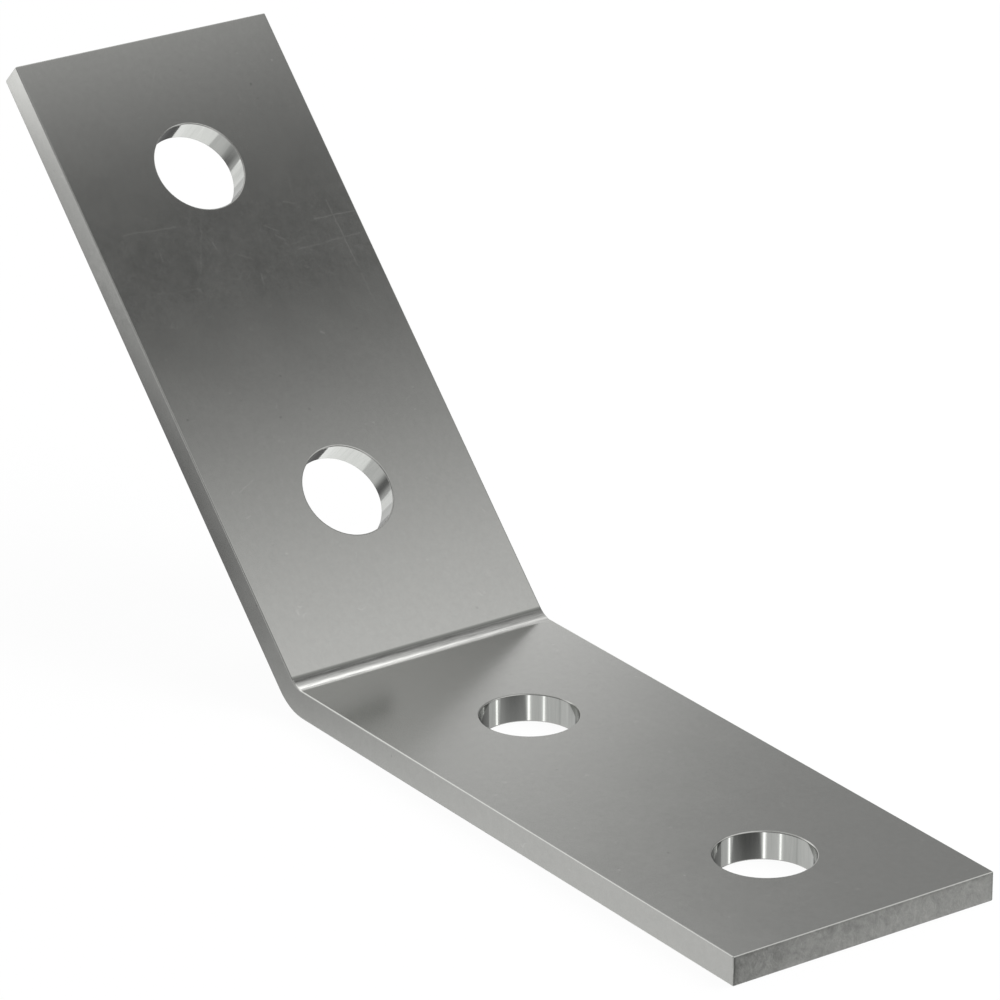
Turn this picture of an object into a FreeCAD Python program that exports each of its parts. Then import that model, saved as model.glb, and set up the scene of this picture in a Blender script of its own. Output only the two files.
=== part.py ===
# Obtuse angle bracket for framing channel: one steel flat bar with four bolt holes, bent once.
#
# The real bracket starts as a straight bar, cut to length and punched with four holes at one pitch.
# It is then folded over a round-nosed tool at its middle, so its legs stand 135 degrees apart.
# Sizes along the bar are those of the flat blank, and the fold's stretch is worked out from them.
#
# Frame: millimetres, +Z up. The origin is on the underside of the lower leg, midway between its two
# holes. +X runs along the lower leg to its free end, and +Y across the bar.
import FreeCAD, Part
import math
import os

# The flat bar
bar_width = 40.0
bar_thickness = 4.0
bar_edge_radius = 0.2

# The blank, measured flat: each leg runs from the bar's cut end to the middle of the fold
lower_leg_length = 95.0
upper_leg_length = 95.0

# The fold
bend_angle = 45.0
inside_bend_radius = 3.5
neutral_line_share = 0.44

# The bolt holes: two on each leg, on the bar's centre line
hole_diameter = 13.0
hole_pitch = 50.0
end_to_hole = 20.0
hole_edge_radius = 0.2

# Edges whose faces meet at a smaller angle than this are smooth already
smooth_join_angle = 1.0


def at(x, z, y=0.0):
    """A point of the bracket: x along the lower leg, z up and y across the bar."""
    return FreeCAD.Vector(x, y, z)


# The fold takes up a length of blank equal to its arc at the neutral line, half from each leg.
fold = math.radians(bend_angle)
fold_length = fold * (inside_bend_radius + neutral_line_share * bar_thickness)
lower_flat = lower_leg_length - fold_length / 2
upper_flat = upper_leg_length - fold_length / 2

# The lower leg's holes lie half a pitch to each side of the origin.
lower_end_x = hole_pitch / 2 + end_to_hole
bend_centre = at(lower_end_x - lower_flat, bar_thickness + inside_bend_radius)

# The upper leg leans back from the fold. Its outward side is its underside, away from the fold's centre.
up_the_leg = at(-math.cos(fold), math.sin(fold))
outward = at(-math.sin(fold), -math.cos(fold))
downward = at(0, -1)
half_way_outward = at(-math.sin(fold / 2), -math.cos(fold / 2))


def on_fold(direction, radius):
    """A point of the fold's section, at a radius from its centre."""
    return bend_centre + direction * radius


def on_lower_leg(along, below_inside):
    """A point on the lower leg's centre line: a distance from the fold, and a depth below its top face."""
    return on_fold(downward, inside_bend_radius + below_inside) + at(along, 0)


def on_upper_leg(along, below_inside):
    """A point on the upper leg's centre line: a distance from the fold, and a depth below its front face."""
    return on_fold(outward, inside_bend_radius + below_inside) + up_the_leg * along


def bent_bar():
    """The bar after folding: its long section, drawn as lines and arcs, given the bar's width."""
    inside = [on_lower_leg(lower_flat, 0), on_lower_leg(0, 0)]
    inside += [on_fold(half_way_outward, inside_bend_radius)]
    inside += [on_upper_leg(0, 0), on_upper_leg(upper_flat, 0)]

    outside = [on_lower_leg(lower_flat, bar_thickness), on_lower_leg(0, bar_thickness)]
    outside += [on_fold(half_way_outward, inside_bend_radius + bar_thickness)]
    outside += [on_upper_leg(0, bar_thickness), on_upper_leg(upper_flat, bar_thickness)]

    edges = []
    for end, fold_start, fold_middle, fold_end, tip in (inside, outside):
        edges.append(Part.LineSegment(end, fold_start).toShape())
        edges.append(Part.Arc(fold_start, fold_middle, fold_end).toShape())
        edges.append(Part.LineSegment(fold_end, tip).toShape())
    edges.append(Part.LineSegment(inside[0], outside[0]).toShape())
    edges.append(Part.LineSegment(inside[-1], outside[-1]).toShape())

    section = Part.Face(Part.Wire(Part.__sortEdges__(edges)))
    section.translate(at(0, 0, -bar_width / 2))
    return section.extrude(at(0, 0, bar_width))


def hole_tool(on_leg, along, through):
    """A drill rod through a leg: on_leg gives the point at a distance along it, through is its direction."""
    overrun = bar_thickness
    start = on_leg(along, 0) - through * overrun
    return Part.makeCylinder(hole_diameter / 2, bar_thickness + 2 * overrun, start, through)


def bolt_holes():
    """The four rods that make the holes, each pair set out from its leg's cut end."""
    rods = []
    for place in range(2):
        from_end = end_to_hole + place * hole_pitch
        rods.append(hole_tool(on_lower_leg, lower_flat - from_end, downward))
        rods.append(hole_tool(on_upper_leg, upper_flat - from_end, outward))
    return rods


def is_sharp(solid, edge):
    """True where two faces meet at a corner, and not along a smooth join or a hole's seam."""
    faces = solid.ancestorsOfType(edge, Part.Face)
    if len(faces) != 2 or faces[0].isSame(faces[1]):
        return False
    middle = edge.valueAt((edge.FirstParameter + edge.LastParameter) / 2)
    normals = [face.normalAt(*face.Surface.parameter(middle)) for face in faces]
    return math.degrees(normals[0].getAngle(normals[1])) > smooth_join_angle


def angle_bracket():
    """The finished bracket: folded, pierced, and with every sharp edge taken off."""
    bracket = bent_bar()
    outline = [edge for edge in bracket.Edges if is_sharp(bracket, edge)]
    bracket = bracket.makeFillet(bar_edge_radius, outline)

    bracket = bracket.cut(bolt_holes())
    rims = [edge for edge in bracket.Edges if is_sharp(bracket, edge)]
    bracket = bracket.makeFillet(hole_edge_radius, rims)
    return bracket.Solids[0]


os.makedirs("parts", exist_ok=True)
bracket = angle_bracket()
bracket.exportStep("parts/angle_bracket.step")

size = bracket.optimalBoundingBox(False, False)
print("valid", bracket.isValid(), "faces", len(bracket.Faces), "volume", round(bracket.Volume, 1))
print("box", [round(v, 2) for v in (size.XMin, size.YMin, size.ZMin, size.XMax, size.YMax, size.ZMax)])
print("flat lengths", round(lower_flat, 3), round(upper_flat, 3), "centre of mass", bracket.CenterOfMass)
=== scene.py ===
import bpy
import bmesh
import math
from mathutils import Matrix, Vector


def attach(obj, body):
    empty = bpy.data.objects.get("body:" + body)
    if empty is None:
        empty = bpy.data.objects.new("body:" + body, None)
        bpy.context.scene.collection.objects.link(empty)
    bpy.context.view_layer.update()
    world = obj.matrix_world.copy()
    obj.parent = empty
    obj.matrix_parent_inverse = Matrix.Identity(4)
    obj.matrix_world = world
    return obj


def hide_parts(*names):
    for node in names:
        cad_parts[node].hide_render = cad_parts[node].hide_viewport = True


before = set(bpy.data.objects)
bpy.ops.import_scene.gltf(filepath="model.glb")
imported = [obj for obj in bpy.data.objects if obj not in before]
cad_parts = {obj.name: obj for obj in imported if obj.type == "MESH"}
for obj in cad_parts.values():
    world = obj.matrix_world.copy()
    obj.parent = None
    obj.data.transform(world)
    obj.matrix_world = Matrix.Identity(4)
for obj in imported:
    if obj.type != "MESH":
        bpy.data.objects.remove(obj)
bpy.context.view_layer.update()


# The bar. A cold-rolled steel flat, 40 by 4 mm, cut to 190 mm and folded once at its middle over a
# round-nosed tool. The lower leg lies flat with its underside at z = 0, and the upper leg leans back
# from the fold, 135 degrees from it.
bar_width = 0.040
bar_thickness = 0.004
leg_length = 0.095
inside_bend_radius = 0.0035
neutral_line_share = 0.44
fold = math.radians(45)
fold_steps = 24
hole_pitch = 0.050
end_to_hole = 0.020

blank_length = 2 * leg_length
fold_length = fold * (inside_bend_radius + neutral_line_share * bar_thickness)
leg_flat = leg_length - fold_length / 2
fold_centre = Vector((hole_pitch / 2 + end_to_hole - leg_flat, 0, bar_thickness + inside_bend_radius))
up_the_leg = Vector((-math.cos(fold), 0, math.sin(fold)))
upper_outward = Vector((-math.sin(fold), 0, -math.cos(fold)))


def choose_faces(piece, wanted):
    """In edit mode, selects the faces that wanted(normal) is true for, and no others."""
    mesh = bmesh.from_edit_mesh(piece.data)
    for face in mesh.faces:
        face.select = wanted(face.normal)
    mesh.select_flush_mode()
    bmesh.update_edit_mesh(piece.data)


bpy.ops.object.select_all(action="DESELECT")
bpy.ops.mesh.primitive_cube_add(
    size=1,
    location=(fold_centre.x + leg_flat / 2, 0, bar_thickness / 2),
    scale=(leg_flat, bar_width, bar_thickness),
)
bracket = bpy.context.object
bracket.name = "bent_flat_bar"
bpy.ops.object.transform_apply(location=True, rotation=True, scale=True)

bpy.ops.object.mode_set(mode="EDIT")
bpy.ops.mesh.select_mode(type="FACE")
choose_faces(bracket, lambda normal: normal.x < -0.9)
bpy.ops.mesh.spin(steps=fold_steps, angle=-fold, center=fold_centre, axis=(0, 1, 0))
bpy.ops.mesh.extrude_region_move(TRANSFORM_OT_translate={"value": up_the_leg * leg_flat})
bpy.ops.mesh.select_all(action="SELECT")
bpy.ops.mesh.remove_doubles(threshold=1e-6)
bpy.ops.mesh.normals_make_consistent(inside=False)
bpy.ops.object.mode_set(mode="OBJECT")


# The bolt holes. Four round holes for M12 bolts, punched and reamed through the flat on its centre
# line, two on each leg at 50 mm. All edges of the bar and rims of the holes are broken by 0.2 mm.
hole_radius = 0.0065
hole_sides = 128
edge_break = 0.0002
edge_steps = 3
edge_angle = math.radians(30)

middle_radius = inside_bend_radius + bar_thickness / 2
holes = []
for from_end in (end_to_hole, end_to_hole + hole_pitch):
    from_fold = leg_flat - from_end
    on_lower = fold_centre + Vector((from_fold, 0, -middle_radius))
    on_upper = fold_centre + upper_outward * middle_radius + up_the_leg * from_fold
    holes.append((on_lower, Vector((0, 0, 1)), 0))
    holes.append((on_upper, -upper_outward, fold))

for centre, axis, lean in holes:
    bpy.ops.object.select_all(action="DESELECT")
    bpy.ops.mesh.primitive_cylinder_add(
        vertices=hole_sides,
        radius=hole_radius,
        depth=3 * bar_thickness,
        location=centre,
        rotation=(0, lean, 0),
    )
    punch = bpy.context.object
    bpy.context.view_layer.objects.active = bracket
    cut = bracket.modifiers.new("punched hole", "BOOLEAN")
    cut.operation = "DIFFERENCE"
    cut.solver = "EXACT"
    cut.object = punch
    bpy.ops.object.modifier_apply(modifier=cut.name)
    bpy.data.objects.remove(punch)

broken = bracket.modifiers.new("broken edges", "BEVEL")
broken.width = edge_break
broken.segments = edge_steps
broken.limit_method = "ANGLE"
broken.angle_limit = edge_angle
bpy.ops.object.modifier_apply(modifier=broken.name)

bpy.ops.object.select_all(action="DESELECT")
bracket.select_set(True)
bpy.context.view_layer.objects.active = bracket
bpy.ops.object.shade_smooth()
even = bracket.modifiers.new("even shading", "WEIGHTED_NORMAL")
even.keep_sharp = True
even.weight = 100
bpy.ops.object.modifier_apply(modifier=even.name)


# The flat blank. Rolling marks and scratches were made while the bar was straight, so each point of
# the bracket remembers its place on the blank: along from the lower cut end, across, and depth from
# the side that ends up inside the fold.
def place_on_blank(point):
    """Where a point of the folded bar was on the straight blank, in metres."""
    from_centre = Vector((point.x - fold_centre.x, 0, point.z - fold_centre.z))
    turned = math.atan2(-from_centre.x, -from_centre.z)
    if point.x >= fold_centre.x:
        return (leg_flat - from_centre.x, point.y, bar_thickness - point.z)
    if turned < fold:
        round_the_fold = turned / fold * fold_length
        return (leg_flat + round_the_fold, point.y, from_centre.length - inside_bend_radius)
    up = from_centre.dot(up_the_leg)
    depth = from_centre.dot(upper_outward) - inside_bend_radius
    return (leg_flat + fold_length + up, point.y, depth)


blank = bracket.data.attributes.new("blank", "FLOAT_VECTOR", "POINT")
for vertex in bracket.data.vertices:
    blank.data[vertex.index].vector = place_on_blank(vertex.co)


# The faces and long edges. Cold-rolled steel, left bare and satin by the rolls, so it mirrors what
# stands round it a little blurred. The upper leg has a rubbed band and light scratches, and the
# bending tool rubbed the fold smoother, where a painted highlight and a painted dark line are laid on.
# Every pattern is laid out on the flat blank, in metres.
def hex_colour(text):
    """The linear colour of an sRGB hex value."""
    parts = [int(text[place:place + 2], 16) / 255 for place in (1, 3, 5)]
    linear = [part / 12.92 if part <= 0.04045 else ((part + 0.055) / 1.055) ** 2.4 for part in parts]
    return (*linear, 1)


def add_node(tree, kind, inputs=(), **settings):
    """Adds a node, sets its settings, and gives each named input a value or a link."""
    node = tree.nodes.new(kind)
    for name, value in settings.items():
        setattr(node, name, value)
    for name, value in dict(inputs).items():
        if isinstance(value, bpy.types.NodeSocket):
            tree.links.new(value, node.inputs[name])
        else:
            node.inputs[name].default_value = value
    return node


def spots(size):
    """The noise scale that gives marks of this size in mm, on a place in metres."""
    return 1000 / size


def new_material(name):
    """A new material with an empty node tree."""
    material = bpy.data.materials.new(name)
    material.use_nodes = True
    material.node_tree.nodes.clear()
    return material


rolled_steel = new_material("cold_rolled_steel_satin")
tree = rolled_steel.node_tree
place = add_node(tree, "ShaderNodeAttribute", attribute_name="blank").outputs["Vector"]
along, across, depth = add_node(tree, "ShaderNodeSeparateXYZ", {0: place}).outputs

# The grain that the rolls leave, 1.2 mm and finer, and a slower change in how blurred they left the
# steel. The drift bends every small mark a little.
grain = add_node(tree, "ShaderNodeTexNoise", {
    "Vector": place, "Scale": spots(1.2), "Detail": 4, "Roughness": 0.9,
})
cloud = add_node(tree, "ShaderNodeTexNoise", {"Vector": place, "Scale": spots(7), "Detail": 2})
drift = add_node(tree, "ShaderNodeTexNoise", {"Vector": place, "Scale": spots(2), "Detail": 2})
drift = add_node(tree, "ShaderNodeVectorMath", {
    0: drift.outputs["Color"], 1: (0.5, 0.5, 0.5),
}, operation="SUBTRACT")
wavy = add_node(tree, "ShaderNodeVectorMath", {
    0: drift.outputs[0], 1: (0.0005, 0.0005, 0.0002), 2: place,
}, operation="MULTIPLY_ADD")

# The rubbed band, 27 to 40 mm from the upper leg's end, is smudged and has most of the specks.
band_from_end = 0.0335
from_band = add_node(tree, "ShaderNodeMath", {
    0: along, 1: blank_length - band_from_end,
}, operation="SUBTRACT")
from_band = add_node(tree, "ShaderNodeMath", {0: from_band.outputs[0]}, operation="ABSOLUTE")
band = add_node(tree, "ShaderNodeMapRange", {
    0: from_band.outputs[0], "From Min": 0.004, "From Max": 0.010, "To Min": 1, "To Max": 0,
}, interpolation_type="SMOOTHSTEP")
smudge = add_node(tree, "ShaderNodeTexNoise", {
    "Vector": wavy.outputs[0], "Scale": spots(2.4), "Detail": 4, "Roughness": 0.7,
})
smudge = add_node(tree, "ShaderNodeMapRange", {
    0: smudge.outputs[0], "From Min": 0.25, "From Max": 0.75, "To Min": -0.11, "To Max": 0.11,
})
smudge = add_node(tree, "ShaderNodeMath", {
    0: smudge.outputs[0], 1: band.outputs[0],
}, operation="MULTIPLY")

# Small pits and specks, 3 mm apart, some lighter and some darker than the steel.
cells = add_node(tree, "ShaderNodeTexVoronoi", {"Vector": wavy.outputs[0], "Scale": spots(3)})
speck_size = add_node(tree, "ShaderNodeMapRange", {0: band.outputs[0], "To Min": 0.10, "To Max": 0.16})
speck = add_node(tree, "ShaderNodeMapRange", {
    0: cells.outputs["Distance"],
    "From Min": 0.02, "From Max": speck_size.outputs[0], "To Min": 1, "To Max": 0,
}, interpolation_type="SMOOTHSTEP")
speck_tone = add_node(tree, "ShaderNodeSeparateColor", {0: cells.outputs["Color"]})
speck_tone = add_node(tree, "ShaderNodeMapRange", {
    0: speck_tone.outputs[0], "To Min": -0.22, "To Max": 0.22,
})
speck_tone = add_node(tree, "ShaderNodeMath", {
    0: speck.outputs[0], 1: speck_tone.outputs[0],
}, operation="MULTIPLY")

# Short curved marks, where small things slid over the steel: parts of the lines along which a slow
# noise passes its middle value.
curve = add_node(tree, "ShaderNodeTexNoise", {"Vector": place, "Scale": spots(3), "Detail": 1})
curve = add_node(tree, "ShaderNodeMath", {0: curve.outputs[0], 1: 0.5}, operation="SUBTRACT")
curve = add_node(tree, "ShaderNodeMath", {0: curve.outputs[0]}, operation="ABSOLUTE")
curve = add_node(tree, "ShaderNodeMapRange", {
    0: curve.outputs[0], "From Max": 0.018, "To Min": 1, "To Max": 0,
})
pieces = add_node(tree, "ShaderNodeTexNoise", {
    "Vector": place, "Scale": spots(1.9), "Detail": 1, "W": 7,
}, noise_dimensions="4D")
least = add_node(tree, "ShaderNodeMapRange", {0: band.outputs[0], "To Min": 0.66, "To Max": 0.54})
pieces = add_node(tree, "ShaderNodeMath", {
    0: pieces.outputs[0], 1: least.outputs[0],
}, operation="SUBTRACT")
pieces = add_node(tree, "ShaderNodeMapRange", {0: pieces.outputs[0], "From Max": 0.05})
slid = add_node(tree, "ShaderNodeMath", {
    0: curve.outputs[0], 1: pieces.outputs[0],
}, operation="MULTIPLY")


def scratched(tree, place, marks):
    """How much of a scratch lies at a place. marks lists (start, end, width, strength): start and
    end in mm from the upper leg's end and across from its middle, and width in mm."""
    upper_end = blank_length * 1000
    deepest = 0.0
    for start, end, width, strength in marks:
        first = Vector((upper_end - start[0], start[1], 0)) / 1000
        run = Vector((upper_end - end[0], end[1], 0)) / 1000 - first
        away = add_node(tree, "ShaderNodeVectorMath", {0: place, 1: first}, operation="SUBTRACT")
        share = add_node(tree, "ShaderNodeVectorMath", {
            0: away.outputs[0], 1: run / run.length_squared,
        }, operation="DOT_PRODUCT")
        share = add_node(tree, "ShaderNodeClamp", {0: share.outputs["Value"]})
        near = add_node(tree, "ShaderNodeVectorMath", {
            0: run, "Scale": share.outputs[0],
        }, operation="SCALE")
        off = add_node(tree, "ShaderNodeVectorMath", {
            0: away.outputs[0], 1: near.outputs[0],
        }, operation="DISTANCE")
        mark = add_node(tree, "ShaderNodeMapRange", {
            0: off.outputs["Value"],
            "From Min": 0, "From Max": width / 1000, "To Min": strength, "To Max": 0,
        })
        deepest = add_node(tree, "ShaderNodeMath", {
            0: mark.outputs[0], 1: deepest,
        }, operation="MAXIMUM").outputs[0]
    return deepest


scratch = scratched(tree, wavy.outputs[0], (
    ((31.3, 13.2), (31.4, 19.8), 0.16, 1.0),
    ((35.0, 9.0), (34.9, 18.9), 0.16, 0.65),
    ((29.0, 16.2), (39.2, 16.4), 0.16, 0.8),
    ((40.8, 16.4), (45.3, 16.4), 0.20, 0.35),
    ((27.2, -15.6), (27.8, -7.5), 0.18, 0.6),
    ((27.6, -3.4), (35.1, -6.9), 0.20, 0.4),
    ((4.6, 0.0), (9.5, -3.2), 0.14, 0.4),
    ((36.9, -13.0), (37.2, -7.8), 0.16, 0.35),
    ((30.6, 5.4), (31.7, 7.1), 0.18, 0.7),
    ((32.3, 6.4), (33.3, 7.5), 0.18, 0.7),
    ((27.8, 9.8), (28.4, 11.3), 0.18, 0.6),
    ((33.7, -0.3), (35.0, 1.6), 0.18, 0.6),
    ((31.0, -11.5), (32.3, -11.6), 0.18, 0.9),
    ((37.3, 1.8), (38.7, 1.5), 0.20, 0.7),
    ((31.2, -3.2), (32.3, -3.1), 0.18, 0.9),
    ((24.6, 12.3), (26.9, 11.6), 0.16, 0.4),
    ((65.4, -12.9), (66.5, -15.6), 0.18, 0.7),
    ((47.3, 6.6), (47.6, 6.9), 0.26, 1.0),
))

# The crook of the fold, where the bending tool rubbed the steel smoother and streaked it along the
# fold. A painted highlight lightens it where it mirrors the cards brightest, and a painted shade
# makes a dark line at the upper leg. Toward one side the painted highlight leaves out a strip above
# the bright line.
crook_depth = (0.0006, 0.0012)
crook_rim = (0.00015, 0.00003)
inner_side = add_node(tree, "ShaderNodeMapRange", {
    0: depth, "From Min": crook_depth[0], "From Max": crook_depth[1], "To Min": 1, "To Max": 0,
})
from_middle = add_node(tree, "ShaderNodeMath", {0: across}, operation="ABSOLUTE")
off_side = add_node(tree, "ShaderNodeMapRange", {
    0: from_middle.outputs[0],
    "From Min": bar_width / 2 - crook_rim[0], "From Max": bar_width / 2 - crook_rim[1],
    "To Min": 1, "To Max": 0,
})
in_crook = add_node(tree, "ShaderNodeMath", {
    0: inner_side.outputs[0], 1: off_side.outputs[0],
}, operation="MULTIPLY")


def between(rise, full, fade, end):
    """In the crook only, 1 between full and fade, rising from rise and fading to end. All four are
    shares of the fold's length, from the lower leg."""
    mask = in_crook
    for first, last, low, high in ((rise, full, 0, 1), (fade, end, 1, 0)):
        part = add_node(tree, "ShaderNodeMapRange", {
            0: along,
            "From Min": leg_flat + first * fold_length, "From Max": leg_flat + last * fold_length,
            "To Min": low, "To Max": high,
        }, interpolation_type="SMOOTHSTEP")
        mask = add_node(tree, "ShaderNodeMath", {
            0: mask.outputs[0], 1: part.outputs[0],
        }, operation="MULTIPLY")
    return mask


# The painted highlight: a lighter colour where the fold mirrors the cards brightest, with a strip left
# out toward one side.
highlight_mask = between(-0.04, 0.18, 0.34, 0.90)
near_side = add_node(tree, "ShaderNodeMapRange", {
    0: across, "From Min": -0.014, "From Max": -0.004, "To Min": 1, "To Max": 0,
})
highlight_gap = between(0.53, 0.66, 0.70, 0.78)
highlight_gap = add_node(tree, "ShaderNodeMath", {
    0: highlight_gap.outputs[0], 1: near_side.outputs[0],
}, operation="MULTIPLY")
highlight_kept = add_node(tree, "ShaderNodeMath", {0: 1.0, 1: highlight_gap.outputs[0]}, operation="SUBTRACT")
highlight_mask = add_node(tree, "ShaderNodeMath", {
    0: highlight_mask.outputs[0], 1: highlight_kept.outputs[0],
}, operation="MULTIPLY")
# A painted shade: a dark line in the crook where the fold meets the upper leg.
painted_dark_line = between(0.82, 0.90, 0.98, 1.05)
crook = between(0.0, 0.1, 0.9, 1.0)
smooth = between(0.0, 0.1, 0.4, 0.65)
drawn_along = add_node(tree, "ShaderNodeMapping", {
    "Vector": place, "Scale": (spots(0.28), spots(3.2), spots(1)), "Rotation": (0, 0, 0.012),
})
streaks = add_node(tree, "ShaderNodeTexNoise", {
    "Vector": drawn_along.outputs[0], "Scale": 1, "Detail": 2, "Roughness": 0.6,
})
streaks = add_node(tree, "ShaderNodeMapRange", {
    0: streaks.outputs[0], "From Min": 0.3, "From Max": 0.7, "To Min": -0.7, "To Max": 0.7,
})
streaks = add_node(tree, "ShaderNodeMath", {
    0: streaks.outputs[0], 1: crook.outputs[0],
}, operation="MULTIPLY")

# All of these together. Each mark lightens the steel by its strength, the painted highlight and the
# painted dark line have colours of their own, scratches blur the mirror and the tool polished it.
tone = add_node(tree, "ShaderNodeMapRange", {0: grain.outputs[0], "To Min": 0.38, "To Max": 0.62})
for mark, strength in (
    (smudge.outputs[0], 1),
    (speck_tone.outputs[0], 1),
    (slid.outputs[0], 0.12),
    (scratch, 0.10),
    (streaks.outputs[0], 0.35),
):
    tone = add_node(tree, "ShaderNodeMath", {
        0: mark, 1: strength, 2: tone.outputs[0],
    }, operation="MULTIPLY_ADD")
# The painted highlight's strength, streaked along the fold.
painted_highlight = add_node(tree, "ShaderNodeMath", {
    0: streaks.outputs[0], 1: 0.4, 2: 0.86,
}, operation="MULTIPLY_ADD")
painted_highlight = add_node(tree, "ShaderNodeMath", {
    0: painted_highlight.outputs[0], 1: highlight_mask.outputs[0],
}, operation="MULTIPLY")
colour = add_node(tree, "ShaderNodeMix", {
    0: tone.outputs[0], 6: hex_colour("#848582"), 7: hex_colour("#C3C3C0"),
}, data_type="RGBA")
# The painted highlight, #F2F2EF, and the painted shade of the dark line, #7E7F7C.
for mark, shade in ((painted_highlight, "#F2F2EF"), (painted_dark_line, "#7E7F7C")):
    colour = add_node(tree, "ShaderNodeMix", {
        0: mark.outputs[0], 6: colour.outputs[2], 7: hex_colour(shade),
    }, data_type="RGBA")
rough = add_node(tree, "ShaderNodeMapRange", {
    0: cloud.outputs[0], "From Min": 0.3, "From Max": 0.7, "To Min": 0.16, "To Max": 0.19,
})
for mark, change in ((scratch, 0.06), (smooth.outputs[0], -0.06)):
    rough = add_node(tree, "ShaderNodeMath", {
        0: mark, 1: change, 2: rough.outputs[0],
    }, operation="MULTIPLY_ADD")
pits = add_node(tree, "ShaderNodeMath", {0: speck.outputs[0], 1: scratch}, operation="MAXIMUM")
bump = add_node(tree, "ShaderNodeBump", {
    "Height": pits.outputs[0], "Distance": 0.000002,
}, invert=True)
steel = add_node(tree, "ShaderNodeBsdfPrincipled", {
    "Base Color": colour.outputs[2],
    "Metallic": 1.0,
    "Roughness": rough.outputs[0],
    "Normal": bump.outputs[0],
})
add_node(tree, "ShaderNodeOutputMaterial", {"Surface": steel.outputs[0]})


# The cut ends. The same steel, torn by the shear: matt, with soft patches, curled marks and fine
# nicks. Painted shade darkens them toward one side and along three edges, and they are a little
# lighter toward the side outside the fold.
cut_steel = new_material("sheared_steel_end")
tree = cut_steel.node_tree
place = add_node(tree, "ShaderNodeAttribute", attribute_name="blank").outputs["Vector"]
across, depth = add_node(tree, "ShaderNodeSeparateXYZ", {0: place}).outputs[1:]
patches = add_node(tree, "ShaderNodeTexNoise", {
    "Vector": place, "Scale": spots(3.8), "Detail": 4, "Roughness": 0.6, "Distortion": 2.0,
})
curls = add_node(tree, "ShaderNodeTexNoise", {
    "Vector": place, "Scale": spots(2.1), "Detail": 1, "Distortion": 1.0,
})
curls = add_node(tree, "ShaderNodeMath", {0: curls.outputs[0], 1: 0.5}, operation="SUBTRACT")
curls = add_node(tree, "ShaderNodeMath", {0: curls.outputs[0]}, operation="ABSOLUTE")
curls = add_node(tree, "ShaderNodeMapRange", {
    0: curls.outputs[0], "From Max": 0.03, "To Min": 0.16, "To Max": 0,
})
tone = add_node(tree, "ShaderNodeMapRange", {
    0: patches.outputs[0], "From Min": 0.25, "From Max": 0.75, "To Min": 0.22, "To Max": 0.74,
})
tone = add_node(tree, "ShaderNodeMath", {
    0: patches.outputs[0], 1: curls.outputs[0], 2: tone.outputs[0],
}, operation="MULTIPLY_ADD")
nicks = add_node(tree, "ShaderNodeTexNoise", {
    "Vector": place, "Scale": spots(0.6), "Detail": 2, "Roughness": 0.7,
})
nicks = add_node(tree, "ShaderNodeMapRange", {
    0: nicks.outputs[0], "From Min": 0.3, "From Max": 0.7, "To Min": -0.10, "To Max": 0.10,
})
tone = add_node(tree, "ShaderNodeMath", {0: tone.outputs[0], 1: nicks.outputs[0]}, operation="ADD")
from_middle = add_node(tree, "ShaderNodeMath", {0: across}, operation="ABSOLUTE")
# Painted shade: darker toward one side and in thin rims along three edges. Then a little lighter
# toward the side outside the fold.
for distance, start, end, low, high in (
    (across, -bar_width / 2, -0.011, -0.20, 0),
    (from_middle.outputs[0], bar_width / 2 - 0.00045, bar_width / 2 - 0.0002, 0, -0.3),
    (depth, 0.0002, 0.0006, -0.15, 0),
    (depth, 0, bar_thickness, -0.05, 0.09),
):
    shade = add_node(tree, "ShaderNodeMapRange", {
        0: distance, "From Min": start, "From Max": end, "To Min": low, "To Max": high,
    })
    tone = add_node(tree, "ShaderNodeMath", {
        0: tone.outputs[0], 1: shade.outputs[0],
    }, operation="ADD")
colour = add_node(tree, "ShaderNodeMix", {
    0: tone.outputs[0], 6: hex_colour("#81827F"), 7: hex_colour("#C3C3C0"),
}, data_type="RGBA")
rough = add_node(tree, "ShaderNodeMapRange", {
    0: patches.outputs[0], "From Min": 0.3, "From Max": 0.7, "To Min": 0.36, "To Max": 0.5,
})
bump = add_node(tree, "ShaderNodeBump", {"Height": tone.outputs[0], "Distance": 0.00004})
steel = add_node(tree, "ShaderNodeBsdfPrincipled", {
    "Base Color": colour.outputs[2],
    "Metallic": 1.0,
    "Roughness": rough.outputs[0],
    "Normal": bump.outputs[0],
})
add_node(tree, "ShaderNodeOutputMaterial", {"Surface": steel.outputs[0]})


# The hole walls. The same steel, drawn bright by the punch, so they mirror sharply, with faint
# streaks through the bar's thickness. Then each face of the bracket gets its finish.
punched_steel = new_material("punched_steel_hole_wall")
tree = punched_steel.node_tree
place = add_node(tree, "ShaderNodeAttribute", attribute_name="blank").outputs["Vector"]
drawn_out = add_node(tree, "ShaderNodeMapping", {
    "Vector": place, "Scale": (spots(0.6), spots(0.6), spots(10)),
})
streaks = add_node(tree, "ShaderNodeTexNoise", {
    "Vector": drawn_out.outputs[0], "Scale": 1, "Detail": 3, "Roughness": 0.7,
})
colour = add_node(tree, "ShaderNodeMix", {
    0: streaks.outputs[0], 6: hex_colour("#999B98"), 7: hex_colour("#B2B3B0"),
}, data_type="RGBA")
rough = add_node(tree, "ShaderNodeMapRange", {
    0: streaks.outputs[0], "From Min": 0.3, "From Max": 0.7, "To Min": 0.08, "To Max": 0.12,
})
steel = add_node(tree, "ShaderNodeBsdfPrincipled", {
    "Base Color": colour.outputs[2],
    "Metallic": 1.0,
    "Roughness": rough.outputs[0],
})
add_node(tree, "ShaderNodeOutputMaterial", {"Surface": steel.outputs[0]})

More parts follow.
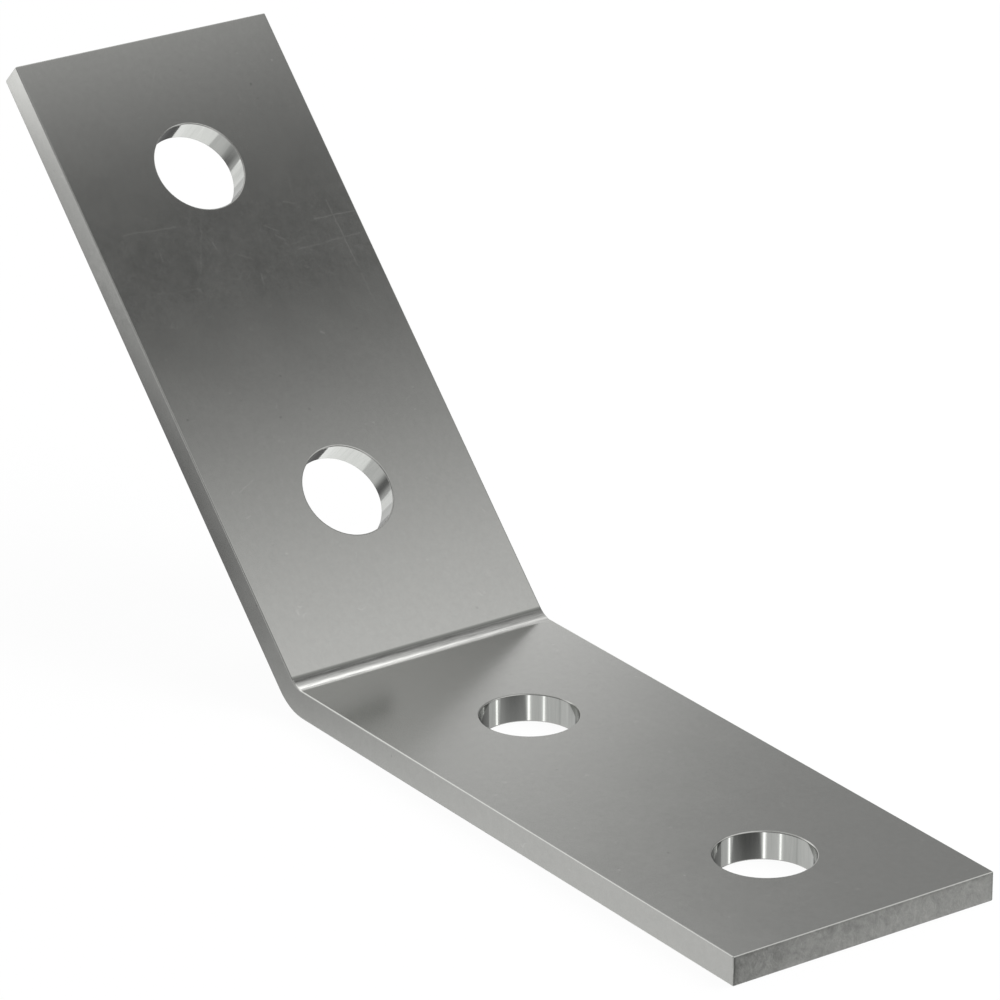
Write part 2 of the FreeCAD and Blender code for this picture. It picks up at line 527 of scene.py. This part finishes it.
finishes = (rolled_steel, cut_steel, punched_steel)
bracket.data.materials.clear()
for material in finishes:
    bracket.data.materials.append(material)
for face in bracket.data.polygons:
    from_start = place_on_blank(face.center)[0]
    if min(from_start, blank_length - from_start) < edge_break / 4:
        face.material_index = finishes.index(cut_steel)
    for hole, axis, lean in holes:
        out = face.center - hole
        through = out.dot(axis)
        if (out - axis * through).length < hole_radius and abs(through) < bar_thickness:
            face.material_index = finishes.index(punched_steel)

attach(bracket, "root")
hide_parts("angle_bracket")


# The studio. A plain white floor just under the bracket, white all round it, and one soft lamp. The
# The floor is white to the camera, the world white to the camera and in the steel, and both light the
# bracket a little less.
floor_size = 6
floor_gap = 0.00005
lamp_size = 0.6
bpy.ops.object.select_all(action="DESELECT")
bpy.ops.mesh.primitive_plane_add(size=floor_size, location=(0, 0, -floor_gap))
floor = bpy.context.object
floor.name = "floor"
floor.visible_glossy = False
white_floor = new_material("white_floor")
tree = white_floor.node_tree
path = add_node(tree, "ShaderNodeLightPath")
paper = add_node(tree, "ShaderNodeBsdfDiffuse", {"Color": hex_colour("#F4F4F4")})
glow = add_node(tree, "ShaderNodeEmission", {"Color": (1, 1, 1, 1), "Strength": 1.0})
share = add_node(tree, "ShaderNodeMath", {
    0: path.outputs["Is Camera Ray"], 1: 0.95,
}, operation="MULTIPLY")
look = add_node(tree, "ShaderNodeMixShader", {
    0: share.outputs[0], 1: paper.outputs[0], 2: glow.outputs[0],
})
add_node(tree, "ShaderNodeOutputMaterial", {"Surface": look.outputs[0]})
floor.data.materials.append(white_floor)

world = bpy.data.worlds.new("white_studio")
bpy.context.scene.world = world
world.use_nodes = True
tree = world.node_tree
tree.nodes.clear()
path = add_node(tree, "ShaderNodeLightPath")
seen = path.outputs["Is Camera Ray"]
for kind in ("Is Glossy Ray", "Is Transmission Ray"):
    seen = add_node(tree, "ShaderNodeMath", {
        0: seen, 1: path.outputs[kind],
    }, operation="MAXIMUM").outputs[0]
strength = add_node(tree, "ShaderNodeMapRange", {0: seen, "To Min": 0.7, "To Max": 1.0})
sky = add_node(tree, "ShaderNodeBackground", {
    "Color": (1, 1, 1, 1), "Strength": strength.outputs[0],
})
add_node(tree, "ShaderNodeOutputWorld", {"Surface": sky.outputs[0]})

key = bpy.data.lights.new("soft_key", "AREA")
key.shape = "RECTANGLE"
key.size = lamp_size
key.size_y = lamp_size
key.energy = 6
key_lamp = bpy.data.objects.new("soft_key", key)
bpy.context.scene.collection.objects.link(key_lamp)
key_lamp.location = (0.2, 0.5, 0.7)
lamp_aim = Vector((-0.04, 0, 0.02)) - key_lamp.location
key_lamp.rotation_euler = lamp_aim.to_track_quat("-Z", "Y").to_euler()
key_lamp.visible_glossy = False


# The cards. Steel shows what stands round it, so glowing cards hang there that only the steel shows:
# one over the upper leg, two behind, four below, two high up, and a ring of walls and strips.
brightest = 4


def lit_along(tree, along, start, end, levels):
    """A smooth run of light levels. levels lists (place, level), from start to end. The ramp holds
    each level as a share of the brightest."""
    if len(levels) == 1:
        return levels[0][1]
    share = add_node(tree, "ShaderNodeMapRange", {0: along, "From Min": start, "From Max": end})
    ramp = add_node(tree, "ShaderNodeValToRGB", {0: share.outputs[0]})
    ramp.color_ramp.interpolation = "B_SPLINE"
    stops = ramp.color_ramp.elements
    stops.remove(stops[1])
    for number, (at, level) in enumerate(levels):
        stop = stops[0] if number == 0 else stops.new(1)
        stop.position = (at - start) / (end - start)
        stop.color = (level / brightest, level / brightest, level / brightest, 1)
    return add_node(tree, "ShaderNodeMath", {
        0: ramp.outputs[0], 1: brightest,
    }, operation="MULTIPLY").outputs[0]


def hang_card(name, place, right, up, right_span, up_span, levels, higher=None):
    """A card that only the steel shows, lit along right by levels. higher is (from, to, levels):
    between these two heights the light changes over to its levels."""
    bpy.ops.object.select_all(action="DESELECT")
    bpy.ops.mesh.primitive_plane_add(size=1)
    card = bpy.context.object
    card.name = name
    for corner in card.data.vertices:
        corner.co.x = right_span[corner.co.x > 0]
        corner.co.y = up_span[corner.co.y > 0]
    right = right.normalized()
    up = up.normalized()
    turn = Matrix((right, up, right.cross(up))).transposed().to_4x4()
    card.matrix_world = Matrix.Translation(place) @ turn
    card.visible_camera = False
    card.visible_diffuse = False
    card.visible_transmission = False
    card.visible_shadow = False
    lit = new_material(name)
    tree = lit.node_tree
    where = add_node(tree, "ShaderNodeTexCoord")
    where = add_node(tree, "ShaderNodeSeparateXYZ", {0: where.outputs["Object"]})
    strength = lit_along(tree, where.outputs[0], *right_span, levels)
    if higher:
        change = add_node(tree, "ShaderNodeMapRange", {
            0: where.outputs[1], "From Min": higher[0], "From Max": higher[1],
        })
        above = lit_along(tree, where.outputs[0], *right_span, higher[2])
        strength = add_node(tree, "ShaderNodeMix", {
            0: change.outputs[0], 2: strength, 3: above,
        }).outputs[0]
    glow = add_node(tree, "ShaderNodeEmission", {"Color": (1, 1, 1, 1), "Strength": strength})
    add_node(tree, "ShaderNodeOutputMaterial", {"Surface": glow.outputs[0]})
    card.data.materials.append(lit)


card_clearance = 0.16
over_the_leg = fold_centre + upper_outward * (inside_bend_radius - card_clearance)
hang_card(
    "card_over_upper_leg", over_the_leg, up_the_leg, Vector((0, 1, 0)),
    (-0.10, 0.60), (-0.02, 0.24),
    [
        (-0.10, 1.36), (0.035, 1.28), (0.058, 1.10), (0.078, 0.71), (0.098, 0.37),
        (0.114, 0.17), (0.128, 0.165), (0.142, 0.26), (0.157, 0.52), (0.175, 0.95),
        (0.20, 0.98), (0.26, 0.92), (0.34, 1.1), (0.60, 1.2),
    ],
    (0.125, 0.145, [
        (-0.10, 1.36), (0.035, 1.28), (0.058, 1.10), (0.078, 0.71), (0.098, 0.42),
        (0.114, 0.36), (0.128, 0.38), (0.157, 0.46), (0.20, 0.50), (0.26, 0.62),
        (0.34, 0.90), (0.60, 1.1),
    ]),
)
hang_card(
    "card_behind", Vector((0, 0.15, 0)), Vector((1, 0, 0.8)), Vector((-0.8, 0, 1)),
    (-0.17, 0.12), (0.04, 0.36),
    [
        (-0.17, 1.5), (-0.13, 1.36), (-0.105, 0.98), (-0.08, 0.53), (-0.05, 0.46),
        (-0.01, 0.45), (0.12, 0.45),
    ],
    (0.205, 0.28, [
        (-0.17, 1.1), (-0.13, 0.96), (-0.105, 0.76), (-0.08, 0.65), (-0.05, 0.50),
        (0.06, 0.60), (0.12, 0.46),
    ]),
)
hang_card(
    "card_behind_fold", Vector((0, 0.149, 0)), Vector((1, 0, 0.8)), Vector((-0.8, 0, 1)),
    (-0.06, 0.06), (0.225, 0.36),
    [
        (-0.06, 0.50), (-0.04, 0.60), (-0.018, 0.88), (-0.002, 0.86), (0.016, 0.50),
        (0.06, 0.40),
    ],
    (0.245, 0.305, [
        (-0.06, 0.95), (-0.04, 1.22), (-0.015, 1.32), (0.004, 1.26), (0.028, 0.86),
        (0.06, 0.72),
    ]),
)
hang_card(
    "card_below_left",
    Vector((0, 0, -0.12)), Vector((0.9175, 0.3977, 0)), Vector((-0.3977, 0.9175, 0)),
    (-1.0, -0.18), (-0.075, 0.07),
    [
        (-1.0, 1.4), (-0.76, 2.2), (-0.68, 2.4), (-0.62, 0.93), (-0.55, 0.77),
        (-0.48, 0.50), (-0.43, 0.50), (-0.36, 0.50), (-0.31, 0.68), (-0.29, 0.86),
        (-0.27, 0.97), (-0.24, 1.05), (-0.18, 0.98),
    ],
    (-0.062, -0.050, [
        (-1.0, 1.4), (-0.72, 2.6), (-0.665, 2.6), (-0.635, 0.76), (-0.60, 0.68),
        (-0.545, 0.73), (-0.48, 0.36), (-0.43, 0.225), (-0.36, 0.18), (-0.31, 0.68),
        (-0.29, 0.86), (-0.27, 0.97), (-0.24, 1.05), (-0.18, 0.98),
    ]),
)
hang_card(
    "card_below_far_left",
    Vector((0, 0, -0.119)), Vector((0.9175, 0.3977, 0)), Vector((-0.3977, 0.9175, 0)),
    (-1.0, -0.62), (-0.018, 0.07),
    [(0, 1.5)],
)
hang_card(
    "card_below", Vector((-0.085, 0, -0.30)), Vector((1, 0, 0)), Vector((0, 1, 0)),
    (-0.25, 0.25), (-0.19, 0.21),
    [(-0.25, 1.62), (-0.04, 1.62), (0.0, 1.5), (0.06, 0.9), (0.25, 0.8)],
)
hang_card(
    "card_below_right", Vector((0, 0, -0.12)), Vector((1, 0, 0)), Vector((0, 1, 0)),
    (0.10, 0.5), (-0.12, 0.155),
    [
        (0.10, 0.73), (0.19, 0.54), (0.214, 0.45), (0.238, 0.33), (0.257, 0.24),
        (0.275, 0.14), (0.5, 0.12),
    ],
)

# Two cards high up, turned to the bracket: (name, azimuth, rise, half width, half height, level).
high_card_distance = 0.8
for name, azimuth, rise, half_width, half_height, level in (
    ("card_front_left", -76, 31, 0.62, 0.42, 0.42),
    ("card_high_left", -158, 26, 0.34, 0.28, 1.7),
):
    turned = math.radians(azimuth)
    lifted = math.radians(rise)
    right = Vector((-math.sin(turned), math.cos(turned), 0))
    out = right.cross(Vector((0, 0, 1))) * math.cos(lifted) + Vector((0, 0, math.sin(lifted)))
    hang_card(
        name, out * high_card_distance, right, out.cross(right),
        (-half_width, half_width), (-half_height, half_height),
        [(0, level)],
    )

# Upright cards in a ring, walls and narrow strips in front of them. They stand below the floor, which
# the steel doesn't mirror. Each is (name, azimuth, width in degrees, heights, levels, higher).
wall_distance = 1.0
strip_distance = 0.9
wall_heights = (-1.28, -0.03)
strip_heights = (-0.50, -0.36)
for name, azimuth, width, heights, levels, higher in (
    ("wall_grey_front_left", -92, 104, wall_heights, [
        (-1.28, 1.14), (-0.9, 1.08), (-0.5, 1.0), (-0.42, 0.98), (-0.37, 0.7),
        (-0.32, 0.98), (1.28, 1.01),
    ], None),
    ("wall_dark_front_right", 3, 64, wall_heights, [
        (-0.62, 0.77), (-0.40, 0.35), (0.02, 0.26), (0.40, 0.32), (0.62, 0.54),
    ], None),
    ("wall_grey_right", 62, 20, wall_heights, [(0, 0.86)], None),
    ("wall_dark_right", 118, 94, wall_heights, [
        (-1.07, 0.42), (-0.50, 0.26), (-0.25, 0.15), (0, 0.12), (0.15, 0.17),
        (0.60, 0.18), (0.78, 0.46), (1.07, 0.52),
    ], None),
    ("wall_grey_left", -168, 52, wall_heights, [
        (-0.488, 0.24), (-0.25, 0.20), (-0.12, 0.32), (0.035, 0.66), (0.25, 0.85),
        (0.488, 1.02),
    ], (-0.35, -0.20, [(-0.488, 0.8), (-0.25, 0.95), (0.035, 0.9), (0.488, 1.02)])),
    ("strip_front", -35.8, 14, strip_heights, [
        (-0.11, 1.0), (-0.04, 1.65), (-0.012, 3.6), (0.012, 3.6), (0.04, 1.65), (0.11, 0.53),
    ], None),
    ("strip_front_left", -71.5, 13, strip_heights, [
        (-0.102, 1.01), (-0.035, 1.3), (-0.01, 3.5), (0.01, 3.5), (0.035, 1.3), (0.102, 1.01),
    ], None),
    ("strip_right", 45.5, 13, strip_heights, [
        (-0.102, 0.47), (-0.035, 1.42), (-0.012, 3.8), (0.012, 3.8), (0.035, 1.42), (0.102, 0.82),
    ], None),
    ("strip_low_left", -164, 26, (-0.28, -0.03), [(0, 1.36)], None),
):
    turned = math.radians(azimuth)
    out = Vector((math.cos(turned), math.sin(turned), 0))
    side = Vector((-out.y, out.x, 0))
    distance = strip_distance if name.startswith("strip") else wall_distance
    half = distance * math.tan(math.radians(width / 2))
    hang_card(name, out * distance, side, Vector((0, 0, 1)), (-half, half), heights, levels, higher)


# The camera, at the photograph's viewing angle. A long lens, 0.8 m from the bracket, looks down on it
# by 23 degrees, from the side of the lower leg's cut end.
camera =bpy.data.cameras.new("camera")
camera.lens = 223.7035
camera.sensor_width = 36
camera.clip_start = 0.01
camera_stand = bpy.data.objects.new("camera", camera)
bpy.context.scene.collection.objects.link(camera_stand)
camera_stand.location = (0.568659, -0.423000, 0.340538)
camera_stand.rotation_euler = (math.radians(90 - 22.8029), 0, math.radians(54.8240))
bpy.context.scene.camera = camera_stand

bpy.context.scene.view_settings.view_transform = "Standard"
